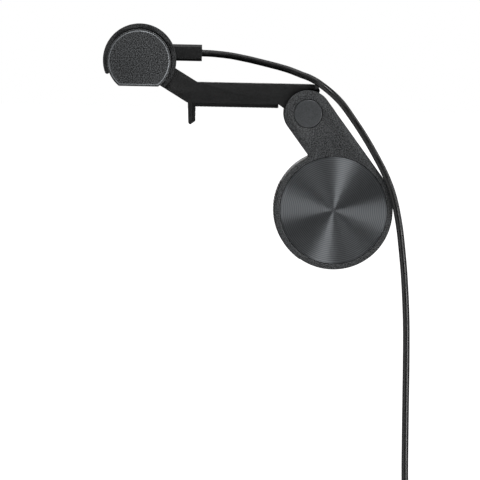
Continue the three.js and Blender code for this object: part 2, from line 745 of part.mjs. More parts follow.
function farBlock([halfX, halfY], from, to) {
  return box(FAR.x - halfX, FAR.x + halfX, FAR.y - halfY, FAR.y + halfY, from, to);
}

function cordTail() {
  return roundBar(CORD.diameter / 2, FAR.top + RUN, FAR.tailTop, FAR.x, FAR.y, CORD.sides);
}

function plugShell() {
  const [y] = BAR.axis;
  const half = PLUG.shell / 2;
  const { shellHalf, tip, front } = PLUG;
  return box(-shellHalf, shellHalf, y + tip, y + front - PAD_GAP, PLUG_Z - half, PLUG_Z + half);
}

const FAR_UNDER = FAR.top - FAR.body;
add("bar", "usb_c_plug", DARK, usbPlug());
add("bar", "usb_c_plug_shell", STEEL, plugShell());
add("bar", "cord_at_plug", CABLE, cordTube(LEAD_ROUTE, 4));
add("lead", "cord", CABLE, cordTube(CORD_ROUTE, 64));
add("lead", "cord_coil", CABLE, coilRing());
add("lead", "cord_tie", BLACK, coilTie());
add("lead", "cord_tail", CABLE, cordTail());
add("lead", "usb_a_plug", DARK, farBlock(FAR.bodyHalf, FAR_UNDER, FAR.top));
add("lead", "usb_a_plug_shell", STEEL, farBlock(FAR.shellHalf, FAR_UNDER - FAR.shell, FAR_UNDER - PAD_GAP));

export default light_bar;
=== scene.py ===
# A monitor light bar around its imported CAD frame: detailed shells, pads, discs, plugs and cord, with
# procedural materials. Lengths are in millimetres in the outlines and become metres when a mesh is made.
import json
import math

import bmesh
import bpy
import numpy as np
from mathutils import Matrix, Vector

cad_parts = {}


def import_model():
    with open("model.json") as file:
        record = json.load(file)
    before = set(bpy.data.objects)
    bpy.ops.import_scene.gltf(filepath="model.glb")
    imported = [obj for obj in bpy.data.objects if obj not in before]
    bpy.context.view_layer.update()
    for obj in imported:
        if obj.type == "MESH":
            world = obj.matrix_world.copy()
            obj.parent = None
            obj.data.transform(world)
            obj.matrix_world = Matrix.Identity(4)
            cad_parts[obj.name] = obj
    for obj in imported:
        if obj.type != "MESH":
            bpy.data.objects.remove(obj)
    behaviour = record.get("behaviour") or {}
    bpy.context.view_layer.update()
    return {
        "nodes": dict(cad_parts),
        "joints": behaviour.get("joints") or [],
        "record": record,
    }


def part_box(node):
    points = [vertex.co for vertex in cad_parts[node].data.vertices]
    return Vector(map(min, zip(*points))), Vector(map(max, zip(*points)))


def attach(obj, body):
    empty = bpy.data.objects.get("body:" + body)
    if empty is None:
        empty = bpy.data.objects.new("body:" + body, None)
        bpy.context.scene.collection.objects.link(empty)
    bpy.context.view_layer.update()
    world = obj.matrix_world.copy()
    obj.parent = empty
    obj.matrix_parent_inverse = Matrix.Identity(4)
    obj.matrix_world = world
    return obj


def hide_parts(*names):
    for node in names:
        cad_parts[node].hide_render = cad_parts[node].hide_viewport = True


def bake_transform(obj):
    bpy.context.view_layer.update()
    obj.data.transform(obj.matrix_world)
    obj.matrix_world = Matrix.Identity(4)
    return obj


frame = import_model()
MM = 0.001

# ---- Places and sizes, in millimetres, read from the frame ----
JOINTS = {j["name"]: j for j in frame["joints"]}
SIDES = {"right": 1, "left": -1}  # which way each side lies along x


def box_mm(node):
    low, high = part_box(node)
    return low / MM, high / MM


def joint_axis(name):
    _, y, z = JOINTS[name]["pos_m"]
    return (y / MM, z / MM)


def middle(node):
    low, high = box_mm(node)
    centre = (low + high) / 2
    return (centre.y, centre.z)


BAR_AXIS = joint_axis("bar_tilt")
PIVOT = joint_axis("arm_swing")
DRUM = middle("spun_disc_right")


# ---- Camera: far out along +X, turned to look at the clip, with a slight roll ----
CAMERA = (4770.0, -29.8, 24.2)
TARGET = (28.0, 2.4, -47.7)  # in the plane of the clip's near face
ROLL = math.radians(1.15)
PICTURE_WIDTH = 172.8  # at the target
SENSOR = 36.0


def make_camera():
    """A long lens that looks along the lamp."""
    place, target = Vector(CAMERA) * MM, Vector(TARGET) * MM
    data = bpy.data.cameras.new("camera")
    data.sensor_width = SENSOR
    data.lens = SENSOR * (place - target).length / (PICTURE_WIDTH * MM)
    data.clip_start = 0.05
    data.clip_end = 200
    camera = bpy.data.objects.new("camera", data)
    bpy.context.scene.collection.objects.link(camera)
    back = (place - target).normalized()
    right = Vector((0, math.cos(ROLL), math.sin(ROLL)))
    right = (right - right.dot(back) * back).normalized()
    up = back.cross(right)
    turn = Matrix((right, up, back)).transposed().to_4x4()
    camera.matrix_world = Matrix.Translation(place) @ turn
    bpy.context.scene.camera = camera


make_camera()


# ---- Node helpers ----
class Nodes:
    """Builds one material's node tree."""

    def __init__(self, name):
        self.material = bpy.data.materials.new(name)
        self.material.use_nodes = True
        self.tree = self.material.node_tree
        self.shader = self.tree.nodes["Principled BSDF"]
        self.place = self.add("ShaderNodeTexCoord").outputs["Object"]

    def add(self, kind, **settings):
        """A new node, with its properties and its input sockets set by name."""
        node = self.tree.nodes.new(kind)
        for key, value in settings.items():
            if hasattr(node, key):
                setattr(node, key, value)
            else:
                node.inputs[key.replace("_", " ")].default_value = value
        return node

    def link(self, out, into):
        self.tree.links.new(out, into)

    def moved(self, **settings):
        """The place, moved by Location or stretched by Scale."""
        node = self.add("ShaderNodeMapping", **settings)
        self.link(self.place, node.inputs["Vector"])
        return node.outputs["Vector"]

    def noise(self, scale, detail, place=None):
        """Noise whose features are about 1 / scale metres across."""
        node = self.add("ShaderNodeTexNoise", Scale=scale, Detail=detail, Roughness=0.55)
        self.link(place or self.place, node.inputs["Vector"])
        return node.outputs["Fac"]

    def wave(self, scale, distortion, place=None, **settings):
        """Even light and dark lines, in bands or in rings."""
        node = self.add("ShaderNodeTexWave", Scale=scale, Distortion=distortion, **settings)
        self.link(place or self.place, node.inputs["Vector"])
        return node.outputs["Fac"]

    def ramp(self, value, low, high, from_low=0.3, from_high=0.7):
        """From low to high, and held there, as value goes from from_low to from_high."""
        node = self.add("ShaderNodeMapRange")
        node.inputs["From Min"].default_value = from_low
        node.inputs["From Max"].default_value = from_high
        node.inputs["To Min"].default_value = low
        node.inputs["To Max"].default_value = high
        self.link(value, node.inputs["Value"])
        return node.outputs["Result"]

    def mix_colour(self, factor, first, second):
        node = self.add("ShaderNodeMix", data_type="RGBA")
        node.inputs[6].default_value = (*first, 1)
        node.inputs[7].default_value = (*second, 1)
        self.link(factor, node.inputs[0])
        return node.outputs[2]

    def bump(self, height, distance):
        node = self.add("ShaderNodeBump", Strength=1.0, Distance=distance)
        self.link(height, node.inputs["Height"])
        return node.outputs["Normal"]

    def into(self, socket, value):
        """Feeds a value to one of the shader's sockets."""
        self.link(value, self.shader.inputs[socket])

    def set(self, **values):
        """Fixed values for the shader's sockets."""
        for key, value in values.items():
            self.shader.inputs[key.replace("_", " ")].default_value = value


def grey(level, tint=0.0):
    """A neutral grey by its linear level; tint leans it to blue."""
    return (level * (1 - tint), level, level * (1 + tint))


STAIN_SCALE = 90.0
STAIN_SHARE = 0.3
ROUGHNESS_SPREAD = 0.06


def finish_plain(name, low, high, roughness, grain, grain_depth, metallic=0.0, tint=0.05, level=0.5):
    """Colour between low and high and roughness both vary with a fine grain, over slow stains."""
    n = Nodes(name)
    fine = n.noise(grain, 0.0)
    slow = n.noise(STAIN_SCALE, 3.0)
    mixed = n.add("ShaderNodeMath", operation="MULTIPLY_ADD")
    n.link(slow, mixed.inputs[0])
    mixed.inputs[1].default_value = STAIN_SHARE
    n.link(n.ramp(fine, -STAIN_SHARE / 2, 1 - STAIN_SHARE / 2), mixed.inputs[2])
    n.into("Base Color", n.mix_colour(mixed.outputs[0], grey(low, tint), grey(high, tint)))
    n.into("Roughness", n.ramp(fine, roughness - ROUGHNESS_SPREAD, roughness + ROUGHNESS_SPREAD))
    n.into("Normal", n.bump(fine, grain_depth))
    n.set(Metallic=metallic, Specular_IOR_Level=level)
    return n.material


def milky():
    """Milky plastic with fine ribs across it."""
    n = Nodes("milky_plastic")
    fine = n.noise(1800.0, 2.0)
    ribs = n.wave(260.0, 0.0, bands_direction="X")
    n.into("Base Color", n.mix_colour(fine, (0.83, 0.84, 0.83), (0.9, 0.9, 0.88)))
    n.into("Roughness", n.ramp(fine, 0.3, 0.42))
    n.into("Normal", n.bump(ribs, 0.00004))
    n.set(Subsurface_Weight=0.3, Subsurface_Scale=0.002)
    return n.material


def gloss():
    """Near-black glass, very slightly uneven."""
    n = Nodes("gloss_panel")
    fine = n.noise(600.0, 3.0)
    n.into("Base Color", n.mix_colour(fine, (0.003, 0.003, 0.0035), (0.006, 0.006, 0.007)))
    n.into("Roughness", n.ramp(n.noise(160.0, 4.0), 0.05, 0.12))
    n.set(Coat_Weight=0.5, Coat_Roughness=0.03)
    return n.material


def print_ink():
    """The pale ink of the touch marks."""
    n = Nodes("icon_print")
    n.into("Base Color", n.mix_colour(n.noise(2500.0, 2.0), (0.55, 0.56, 0.57), (0.68, 0.69, 0.7)))
    n.set(Roughness=0.45)
    return n.material


def bare_metal(name, level, roughness, warm=0.0):
    """Metal with faint lines drawn along x; warm leans its colour to yellow."""
    n = Nodes(name)
    fine = n.noise(1300.0, 2.0, n.moved(Scale=(0.15, 1, 1)))
    low = (level * (1 + warm) * 0.85, level * 0.85, level * (1 - warm) * 0.85)
    high = (level * (1 + warm), level, level * (1 - warm))
    n.into("Base Color", n.mix_colour(fine, low, high))
    n.into("Roughness", n.ramp(fine, roughness - 0.05, roughness + 0.08))
    n.into("Normal", n.bump(fine, 0.00001))
    n.set(Metallic=1.0)
    return n.material


TURNING_LINES = 470.0


def spun_metal():
    """Turned metal: fine rings round the axis, and streaks of light that run out from it."""
    n = Nodes("spun_metal")
    centred = n.moved(Location=(0, -DRUM[0] * MM, -DRUM[1] * MM))
    lines = n.wave(TURNING_LINES, 0.6, centred, wave_type="RINGS", rings_direction="X")
    n.into("Base Color", n.mix_colour(lines, grey(0.105, 0.05), grey(0.185, 0.05)))
    tangent = n.add("ShaderNodeTangent", direction_type="RADIAL", axis="X")
    n.into("Tangent", tangent.outputs["Tangent"])
    n.set(Metallic=1.0, Roughness=0.34, Anisotropic=0.97, Anisotropic_Rotation=0.25)
    return n.material


def woven():
    """A dark band with a slanting weave."""
    n = Nodes("tie")
    threads = n.wave(700.0, 1.5, bands_direction="DIAGONAL")
    n.into("Base Color", n.mix_colour(threads, grey(0.006), grey(0.02)))
    n.into("Normal", n.bump(threads, 0.0001))
    n.set(Roughness=0.85, Sheen_Weight=0.3)
    return n.material


def phosphor():
    """The yellow coat of the diodes."""
    n = Nodes("phosphor")
    n.into("Base Color", n.mix_colour(n.noise(900.0, 2.0), (0.75, 0.58, 0.12), (0.85, 0.7, 0.25)))
    n.set(Roughness=0.35)
    return n.material


# Darkest and lightest level, roughness, grains in a metre, and the grain's depth in metres.
GRAINED = finish_plain("grained_metal", 0.0, 0.07, 0.5, 2600.0, 0.00004, metallic=0.15, level=0.4)
TUBE_METAL = finish_plain("tube_metal", 0.01, 0.03, 0.6, 2300.0, 0.000002, metallic=0.1, level=0.1)
RING_METAL = finish_plain("ring_metal", 0.0, 0.034, 0.5, 2600.0, 0.00004, metallic=0.15, level=0.4)
CAP_METAL = finish_plain("cap_metal", 0.07, 0.095, 0.36, 2900.0, 0.000005, metallic=0.5)
DARK = finish_plain("dark_plastic", 0.001, 0.007, 0.5, 2300.0, 0.00002, level=0.35)
PLUG_PLASTIC = finish_plain("plug_plastic", 0.006, 0.009, 0.4, 2500.0, 0.000005)
RUBBER = finish_plain("rubber", 0.003, 0.005, 0.5, 2400.0, 0.00001, level=0.3)
LINER = finish_plain("liner", 0.008, 0.012, 0.7, 1600.0, 0.00003, level=0.3)
CABLE = finish_plain("cable", 0.004, 0.006, 0.3, 350.0, 0.000002)
IRON = finish_plain("iron", 0.08, 0.13, 0.55, 700.0, 0.00008, metallic=0.9)
WHITE = finish_plain("white_plastic", 0.78, 0.86, 0.4, 900.0, 0.00001, tint=0.0)
BOARD = finish_plain("board", 0.05, 0.08, 0.35, 900.0, 0.00001)
# The cut line on the end caps: a bright-cut edge whose colour is painted lighter than the grained metal, as
# a painted highlight
CUT_LINE_HIGHLIGHT = finish_plain("cut_edge_painted_highlight", 0.18, 0.24, 0.45, 1500.0, 0.000002, metallic=0.5)
MILKY = milky()
GLOSS = gloss()
INK = print_ink()
STEEL = bare_metal("steel", 0.6, 0.28)
BRASS = bare_metal("brass", 0.55, 0.3, warm=0.35)
SPUN = spun_metal()
TIE = woven()
PHOSPHOR = phosphor()


# ---- Mesh helpers: outlines are lists of (y, z) in millimetres, extruded along x ----
def polar(centre, radius, degrees):
    angle = math.radians(degrees)
    return (centre[0] + radius * math.cos(angle), centre[1] + radius * math.sin(angle))


def arc(centre, radius, start, end, steps):
    return [polar(centre, radius, start + (end - start) * i / steps) for i in range(steps + 1)]


def circle(centre, radius, steps):
    return arc(centre, radius, 0, 360, steps)[:-1]


def sector(centre, inner, outer, start, end, steps):
    """Part of a ring, between two angles."""
    return arc(centre, outer, start, end, steps) + arc(centre, inner, end, start, steps)


def rounded(corners, steps):
    """An outline from corners (y, z, radius), where a radius above 0 rounds that corner."""
    outline = []
    for i, (y, z, radius) in enumerate(corners):
        here = Vector((y, z))
        if radius <= 0:
            outline.append((y, z))
            continue
        before = Vector(corners[i - 1][:2])
        after = Vector(corners[(i + 1) % len(corners)][:2])
        back, ahead = (before - here).normalized(), (after - here).normalized()
        half = back.angle(ahead) / 2
        centre = here + (back + ahead).normalized() * (radius / math.sin(half))
        start = here + back * (radius / math.tan(half)) - centre
        end = here + ahead * (radius / math.tan(half)) - centre
        first = math.degrees(math.atan2(start.y, start.x))
        outline += arc(centre, radius, first, first - math.degrees(start.angle_signed(end)), steps)
    return outline


def plain(points):
    """Outline points as corners that stay sharp."""
    return [(y, z, 0) for y, z in points]


def rectangle(low, high):
    return [(low[0], low[1]), (high[0], low[1]), (high[0], high[1]), (low[0], high[1])]


def round_rectangle(low, high, radius):
    return rounded([(*corner, radius) for corner in rectangle(low, high)], 8)


def stadium(centre, half_width, half_height):
    """A slot with round ends."""
    u, v = centre
    end = half_width - half_height
    return arc((u + end, v), half_height, -90, 90, 9) + arc((u - end, v), half_height, 90, 270, 9)


def new_object(name, vertices, faces):
    """A mesh object from vertices in millimetres."""
    mesh = bpy.data.meshes.new(name)
    mesh.from_pydata([Vector(v) * MM for v in vertices], [], faces)
    mesh.update()
    piece = bpy.data.objects.new(name, mesh)
    bpy.context.scene.collection.objects.link(piece)
    return piece


def outward(piece):
    """Turns every face to look outward."""
    work = bmesh.new()
    work.from_mesh(piece.data)
    bmesh.ops.recalc_face_normals(work, faces=work.faces)
    work.to_mesh(piece.data)
    work.free()


def prism(name, outline, x0, x1):
    """An outline of (y, z) extruded along x."""
    count = len(outline)
    vertices = [(x, y, z) for x in (x0, x1) for y, z in outline]
    sides = [(i, (i + 1) % count, count + (i + 1) % count, count + i) for i in range(count)]
    faces = [tuple(reversed(range(count))), tuple(range(count, 2 * count))] + sides
    piece = new_object(name, vertices, faces)
    outward(piece)
    return piece


def turn_mesh(piece, change):
    """Moves each vertex to where change puts it."""
    for vertex in piece.data.vertices:
        vertex.co = change(tuple(vertex.co))
    outward(piece)


def prism_y(name, outline, y0, y1):
    """An outline of (x, z) extruded along y."""
    piece = prism(name, outline, y0, y1)
    turn_mesh(piece, lambda v: (v[1], v[0], v[2]))
    return piece


def prism_z(name, outline, z0, z1):
    """An outline of (x, y) extruded along z."""
    piece = prism(name, outline, z0, z1)
    turn_mesh(piece, lambda v: (v[1], v[2], v[0]))
    return piece


def cylinder_x(name, centre, radius, x0, x1, steps=96):
    return prism(name, circle(centre, radius, steps), x0, x1)


def lathe_x(name, centre, profile, steps):
    """A profile of (x, radius), from axis to axis, turned about the line along x through centre."""
    vertices, rings = [], []
    for x, radius in profile:
        if radius == 0:
            rings.append([len(vertices)] * steps)
            vertices.append((x, *centre))
            continue
        rings.append([len(vertices) + k for k in range(steps)])
        vertices += [(x, *polar(centre, radius, 360 * k / steps)) for k in range(steps)]
    faces = []
    for low, high in zip(rings, rings[1:]):
        for k in range(steps):
            m = (k + 1) % steps
            faces.append(tuple(dict.fromkeys([low[k], low[m], high[m], high[k]])))
    piece = new_object(name, vertices, faces)
    outward(piece)
    return piece


def curved_slab(name, axis, inner, outer, start, end, half, corner):
    """A slab bent round an axis along x, between two angles, with rounded corners of that radius."""
    vertices, rows = [], []
    reach = math.radians(end - start) * outer
    depths = [corner * (1 - math.cos(math.radians(15 * i))) for i in range(7)]
    spots = depths + list(np.linspace(corner, reach - corner, 48)[1:-1])
    spots += [reach - d for d in reversed(depths)]
    for s in spots:
        edge = min(s, reach - s)
        pull = corner - math.sqrt(max(corner**2 - (corner - min(edge, corner)) ** 2, 0))
        angle = start + math.degrees(s / outer)
        x = half - pull
        rows.append(len(vertices))
        section = ((-x, inner), (x, inner), (x, outer), (-x, outer))
        vertices += [(u, *polar(axis, radius, angle)) for u, radius in section]
    faces = []
    for a, b in zip(rows, rows[1:]):
        faces += [(a + k, a + (k + 1) % 4, b + (k + 1) % 4, b + k) for k in range(4)]
    first, last = rows[0], rows[-1]
    faces += [(first, first + 1, first + 2, first + 3), (last + 3, last + 2, last + 1, last)]
    piece = new_object(name, vertices, faces)
    outward(piece)
    return piece


def apply_modifiers(piece):
    """Replaces the mesh by what the modifiers make of it."""
    graph = bpy.context.evaluated_depsgraph_get()
    mesh = bpy.data.meshes.new_from_object(piece.evaluated_get(graph))
    old = piece.data
    piece.modifiers.clear()
    piece.data = mesh
    bpy.data.meshes.remove(old)


def boolean(piece, tools, operation):
    """Cuts the tools from the piece or joins them to it, and deletes them."""
    for tool in tools:
        modifier = piece.modifiers.new("shape", "BOOLEAN")
        modifier.operation = operation
        modifier.solver = "EXACT"
        modifier.object = tool
    apply_modifiers(piece)
    for tool in tools:
        bpy.data.objects.remove(tool)


def cut(piece, *tools):
    boolean(piece, tools, "DIFFERENCE")


def join(piece, *tools):
    boolean(piece, tools, "UNION")


def bevel(piece, width, segments, angle):
    """Rounds the edges that are sharper than that angle."""
    modifier = piece.modifiers.new("bevel", "BEVEL")
    modifier.width = width * MM
    modifier.segments = segments
    modifier.limit_method = "ANGLE"
    modifier.angle_limit = math.radians(angle)
    modifier.harden_normals = True
    modifier.use_clamp_overlap = True
    apply_modifiers(piece)


def smooth(piece, angle=30):
    """Smooth shading, but for the edges sharper than that angle."""
    piece.data.shade_smooth()
    piece.data.set_sharp_from_angle(angle=math.radians(angle))


def dress(piece, material, body, slot, *nodes):
    """The piece's finish, the body that it moves with, and the frame's nodes that it stands for."""
    piece.data.materials.clear()
    piece.data.materials.append(material)
    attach(piece, body)
    if nodes:
        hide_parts(*nodes)
    return piece


# ---- The cord ----
CORD_DIAMETER = 2.5
COIL = middle("cord_coil")
COIL_X = (box_mm("cord_coil")[0].x + box_mm("cord_coil")[1].x) / 2
COIL_MEAN = 14.25  # radius of the bundle's middle
COIL_PITCH = 2.55
COIL_ROWS = 4
COIL_ENTRY = 50.0  # degrees round the coil where the cord joins it
COIL_TURNS = 14 + COIL_ENTRY / 360  # so that the cord leaves the coil heading down
TURN_STEPS = 40
TAIL = 19.0  # from the coil to the far plug
SIDE_X = 27.9  # how far out the cord hangs beside the arm
# Off the plug, over the bridge's rear corner, and down beside the arm.
CORD_ROUTE = [
    (0, -12.25, 19.26),
    (0.2, -9.5, 19.2),
    (0.9, -6.5, 19.0),
    (2.6, -2.3, 18.58),
    (4.6, 1.3, 17.97),
    (7.0, 4.9, 17.28),
    (9.7, 8.5, 16.48),
    (12.6, 12.1, 15.65),
    (15.4, 15.7, 14.78),
    (18.2, 19.3, 13.74),
    (20.7, 23.2, 12.3),
    (23.6, 26.5, 11.1),
    (26.4, 29.65, 9.35),
    (SIDE_X, 34.0, 6.1),
    (SIDE_X, 37.7, 2.6),
    (SIDE_X, 40.9, -1.5),
    (SIDE_X, 45.6, -8.2),
    (SIDE_X, 50.1, -15.5),
    (SIDE_X, 54.55, -23.8),
    (SIDE_X, 57.45, -31.5),
    (SIDE_X, 59.55, -41.0),
    (SIDE_X, 60.8, -50.2),
    (SIDE_X, 61.9, -61.0),
    (SIDE_X, 62.8, -75.4),
    (SIDE_X, 63.1, -90.0),
    (SIDE_X, 63.2, -104.5),
    (SIDE_X, 63.3, -119.0),
    (SIDE_X, 63.5, -133.0),
    (SIDE_X, 64.0, -140.0),
]


def coil_slots():
    """Each turn's place in the bundle as (x, radius), in columns that run in and out by turns."""
    half = (COIL_ROWS - 1) * COIL_PITCH / 2
    steps = [half - i * COIL_PITCH for i in range(COIL_ROWS)]
    slots = []
    for column, x in enumerate(steps):
        rows = steps if column % 2 == 0 else steps[::-1]
        slots += [(x, COIL_MEAN + r) for r in rows]
    return slots


def catmull_rom(points, per_span):
    """A smooth curve through the points."""
    pts = [2 * Vector(points[0]) - Vector(points[1])] + [Vector(p) for p in points]
    pts.append(2 * pts[-1] - pts[-2])
    curve = []
    for a, b, c, d in zip(pts, pts[1:], pts[2:], pts[3:]):
        for i in range(per_span):
            t = i / per_span
            square = 2 * a - 5 * b + 4 * c - d
            cube = 3 * b - a - 3 * c + d
            curve.append(0.5 * (2 * b + (c - a) * t + square * t**2 + cube * t**3))
    return curve + [pts[-2]]


def hermite(start, start_way, end, end_way, steps):
    """The points between start and end on a curve that leaves and arrives with those directions."""
    curve = []
    for i in range(1, steps):
        t = i / steps
        near, far = 2 * t**3 - 3 * t**2 + 1, -2 * t**3 + 3 * t**2
        out, back = t**3 - 2 * t**2 + t, t**3 - t**2
        curve.append(near * start + out * start_way + far * end + back * end_way)
    return curve


def coil_turns():
    """The cord's way round the coil, which steps from slot to slot once a turn."""
    slots = coil_slots()
    points = []
    steps = int(COIL_TURNS * TURN_STEPS)
    for i in range(steps + 1):
        turn = COIL_TURNS * i / steps
        k = min(int(turn), len(slots) - 2)
        f = turn - k
        (x0, r0), (x1, r1) = slots[k], slots[k + 1]
        angle = math.radians(COIL_ENTRY - 360 * turn)
        radius = r0 + (r1 - r0) * f
        place = Vector((COIL_X + x0 + (x1 - x0) * f, COIL[0], COIL[1]))
        points.append(place + Vector((0, math.cos(angle), math.sin(angle))) * radius)
    return points


def cord_path():
    """The free run, a link that turns into the coil, the coil, and a straight tail to the far plug."""
    free = catmull_rom(CORD_ROUTE, 6)
    coil = coil_turns()
    start, way = free[-1], (free[-1] - free[-2]).normalized()
    reach = (coil[0] - start).length
    entry = Vector((0, math.sin(math.radians(COIL_ENTRY)), -math.cos(math.radians(COIL_ENTRY))))
    link = hermite(start, way * reach, coil[0], entry * reach, 12)
    tail = [coil[-1] + Vector((0, 0, -TAIL * i / 6)) for i in range(1, 7)]
    return free + link + coil + tail


def tube(name, points, diameter, sides):
    """A closed tube along points, carried by a frame that doesn't twist."""
    radius = diameter / 2
    tangents = []
    for i in range(len(points)):
        ahead = points[min(i + 1, len(points) - 1)]
        behind = points[max(i - 1, 0)]
        tangents.append((ahead - behind).normalized())
    across = tangents[0].cross(Vector((1, 0, 0))).normalized()
    vertices = []
    for point, tangent in zip(points, tangents):
        across = (across - across.dot(tangent) * tangent).normalized()
        other = tangent.cross(across)
        for k in range(sides):
            angle = 2 * math.pi * k / sides
            vertices.append(point + radius * (math.cos(angle) * across + math.sin(angle) * other))
    faces = []
    for i in range(len(points) - 1):
        for k in range(sides):
            a, b = i * sides + k, i * sides + (k + 1) % sides
            faces.append((a, b, b + sides, a + sides))
    faces += [tuple(reversed(range(sides))), tuple(range(len(vertices) - sides, len(vertices)))]
    piece = new_object(name, vertices, faces)
    outward(piece)
    smooth(piece, 50)
    return piece


def make_cord():
    """The cord in one length."""
    path = cord_path()
    piece = tube("lead_cord", path, CORD_DIAMETER, 24)
    piece.data.materials.append(CABLE)
    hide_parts("cord", "cord_at_plug", "cord_coil", "cord_tail")
    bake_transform(piece)
    return piece, path


cord, CORD_PATH = make_cord()


# ---- The lamp tube ----
CAP_LOW, CAP_HIGH = box_mm("end_cap_right")
TUBE_RADIUS = CAP_HIGH.z - BAR_AXIS[1]
TUBE_FLAT = BAR_AXIS[1] - CAP_LOW.z
TUBE_WALL = 1.4
BAR_HALF = CAP_HIGH.x
CAP_THICK = 4.0
CAP_EDGE = 0.62  # width of the rolled edge round the cap's face
CAP_ROLL = 0.5  # how far that edge falls back
CAP_HIGHLIGHT_LINE = 0.24  # width of the cut line inside that edge, whose colour is painted light as a highlight
LIGHT_HALF = 5.5  # half the width of the light side's opening
DIFFUSER_BULGE = 60.0
PANEL = (88.4, 147.6)  # the touch panel's two edges, in degrees round the tube
PANEL_HALF = 19.4
PANEL_PROUD = 0.02
ICON_ANGLE = 118.0
ICON_LINE = 0.28
ICON_RADIUS = 1.35
ICON_PITCH = 7.0


def tube_arc(inset, steps):
    """Round over the top and down to both ends of the flat light side."""
    radius = TUBE_RADIUS - inset
    below = math.degrees(math.asin((TUBE_FLAT - inset) / radius))
    return arc(BAR_AXIS, radius, -below, 180 + below, steps)


def lamp_tube():
    """A D-shaped tube, open below for the light, with a window for the panel and a port for the plug."""
    lip = LIGHT_HALF + 0.1
    low = BAR_AXIS[1] - TUBE_FLAT
    lip_top = low + TUBE_WALL
    centre = BAR_AXIS[0]
    outside, inside = tube_arc(0, 130), tube_arc(TUBE_WALL, 70)[::-1]
    corners = [(centre + lip, low, 0.12), (*outside[0], 0.5)]
    corners += plain(outside[1:-1])
    corners += [(*outside[-1], 0.5), (centre - lip, low, 0.12), (centre - lip, lip_top, 0)]
    corners += plain(inside)
    corners += [(centre + lip, lip_top, 0)]
    half = BAR_HALF - CAP_THICK - 0.12
    piece = prism("lamp_tube", rounded(corners, 4), -half, half)
    room = (TUBE_RADIUS - 3, TUBE_RADIUS + 1, PANEL[0] - 0.8, PANEL[1] + 0.8, PANEL_HALF + 0.35)
    panel = curved_slab("hole", BAR_AXIS, *room, 1.6)
    port = prism_y("port", stadium((0, middle("usb_c_plug")[1]), 4.7, 1.7), centre + 5, centre + 13)
    cut(piece, panel, port)
    bevel(piece, 0.12, 2, 60)
    smooth(piece, 35)
    return dress(piece, TUBE_METAL, "bar", "grained_metal", "bar_housing")


def end_cap(side):
    """A rolled outer edge, a cut line inside it whose colour is painted light as a highlight, and a flat
    grained face.
    """
    sign = SIDES[side]
    highlight_line_end = CAP_EDGE + CAP_HIGHLIGHT_LINE
    back = BAR_HALF - CAP_ROLL
    rings = [(BAR_HALF - CAP_THICK, 0.0), (back, 0.0)]
    rings += [(back + 0.3 * math.sin(a), 0.42 * (1 - math.cos(a))) for a in np.linspace(0.3, 1.4, 5)]
    rings += [(BAR_HALF - 0.2, CAP_EDGE - 0.08), (BAR_HALF - 0.02, highlight_line_end - 0.06), (BAR_HALF, highlight_line_end)]
    outlines = [[(sign * x, *spot) for spot in tube_arc(inset, 120)] for x, inset in rings]
    count = len(outlines[0])
    vertices, faces = sum(outlines, []), []
    for i in range(len(rings) - 1):
        for k in range(count):
            m = (k + 1) % count
            faces.append((i * count + k, i * count + m, (i + 1) * count + m, (i + 1) * count + k))
    last = (len(rings) - 1) * count
    faces += [tuple(range(count)), tuple(last + k for k in range(count))]
    piece = new_object("cap_" + side, vertices, faces)
    outward(piece)
    smooth(piece, 25)
    dress(piece, GRAINED, "bar", "grained_metal", "end_cap_" + side)
    # The cut line's rings get the lighter colour: a painted highlight round the cap's face
    piece.data.materials.append(CUT_LINE_HIGHLIGHT)
    highlight_line_start = (len(rings) - 3) * count
    for polygon in piece.data.polygons:
        if min(polygon.vertices) >= highlight_line_start and max(polygon.vertices) < highlight_line_start + 2 * count:
            polygon.material_index = 1
    return piece


def diffuser():
    """A milky strip, bulged very slightly, in the tube's opening."""
    half = BAR_HALF - CAP_THICK - 0.2
    low = BAR_AXIS[1] - TUBE_FLAT
    front, rear = BAR_AXIS[0] - LIGHT_HALF, BAR_AXIS[0] + LIGHT_HALF
    corners = plain(arc((BAR_AXIS[0], low + DIFFUSER_BULGE), DIFFUSER_BULGE, -94.6, -85.4, 24))
    corners += [(rear, low + 0.5, 0), (rear, low + 1.3, 0.1), (front, low + 1.3, 0.1), (front, low + 0.5, 0)]
    piece = prism("diffuser_strip", rounded(corners, 3), -half, half)
    smooth(piece)
    return dress(piece, MILKY, "bar", "milky_plastic", "diffuser")


def touch_panel():
    """The glossy cover over the touch panel, bent round the tube."""
    low, high = TUBE_RADIUS - 1.2, TUBE_RADIUS + PANEL_PROUD
    piece = curved_slab("touch_panel_cover", BAR_AXIS, low, high, *PANEL, PANEL_HALF, 1.4)
    bevel(piece, 0.15, 2, 50)
    smooth(piece)
    return dress(piece, GLOSS, "bar", "gloss_panel", "touch_panel")


def stroke(points, width):
    """A flat line of that width on the panel, from points (x, distance round the tube)."""
    low, high = TUBE_RADIUS - 0.1, TUBE_RADIUS + 0.045
    vertices = []
    for i, (x, s) in enumerate(points):
        ahead, behind = points[min(i + 1, len(points) - 1)], points[max(i - 1, 0)]
        along = Vector((ahead[0] - behind[0], ahead[1] - behind[1])).normalized() * (width / 2)
        for dx, ds in ((along.y, -along.x), (-along.y, along.x)):
            angle = ICON_ANGLE + math.degrees((s + ds) / TUBE_RADIUS)
            vertices += [(x + dx, *polar(BAR_AXIS, r, angle)) for r in (low, high)]
    faces = [(0, 1, 3, 2)]
    for i in range(len(points) - 1):
        a, b = 4 * i, 4 * i + 4
        faces += [(a + k, b + k, b + m, a + m) for k, m in ((0, 1), (1, 3), (3, 2), (2, 0))]
    last = 4 * (len(points) - 1)
    faces.append((last + 2, last + 3, last + 1, last))
    return vertices, faces


